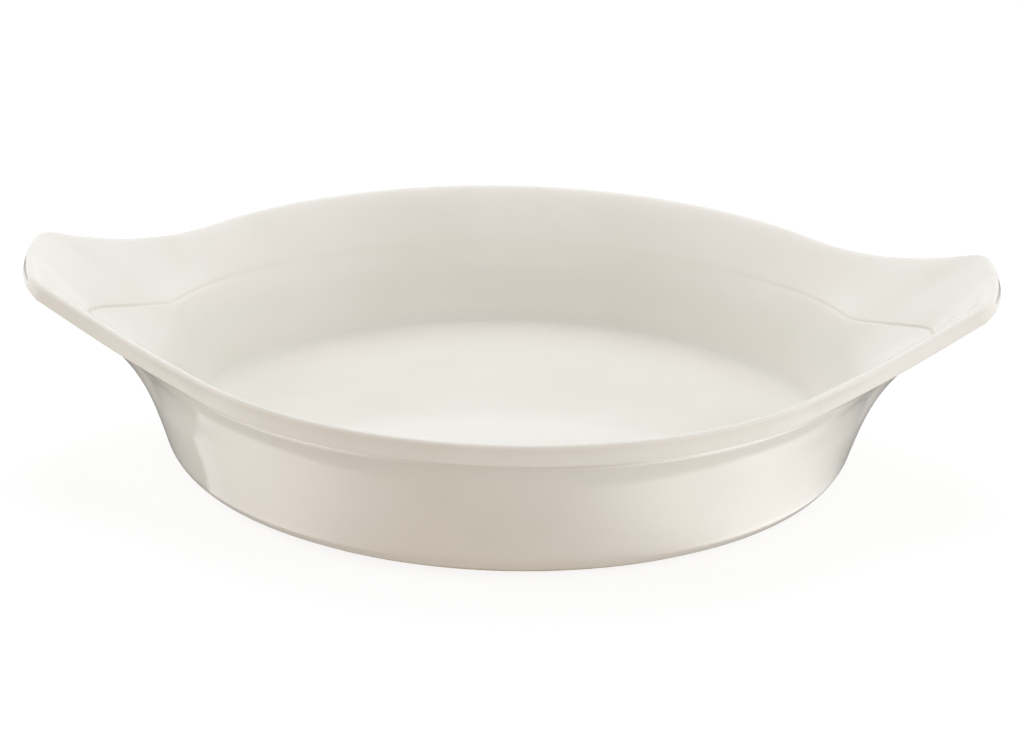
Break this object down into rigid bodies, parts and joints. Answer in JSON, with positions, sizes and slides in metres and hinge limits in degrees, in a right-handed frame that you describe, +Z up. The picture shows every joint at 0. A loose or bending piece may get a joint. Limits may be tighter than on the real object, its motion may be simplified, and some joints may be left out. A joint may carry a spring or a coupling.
{
  "type": "shirred egg dish",
  "caption": "Shallow round glazed ceramic dish with a steep wall, rolled lip and opposed scooped ears for lifting, used to bake and serve eggs or gratins.",
  "frame": {"origin": "centre of the foot ring's resting face", "axes": "+X along the ears towards the right ear, +Z up out of the dish"},
  "size_m": [0.1896, 0.1492, 0.0396],
  "materials": {
    "glaze": "glossy warm white glaze",
    "bare_clay": "unglazed, ground flat"
  },
  "bodies": {
    "root": {"dish_body": "glaze", "right_ear": "glaze", "left_ear": "glaze", "foot_ring": "bare_clay"}
  },
  "joints": []
}
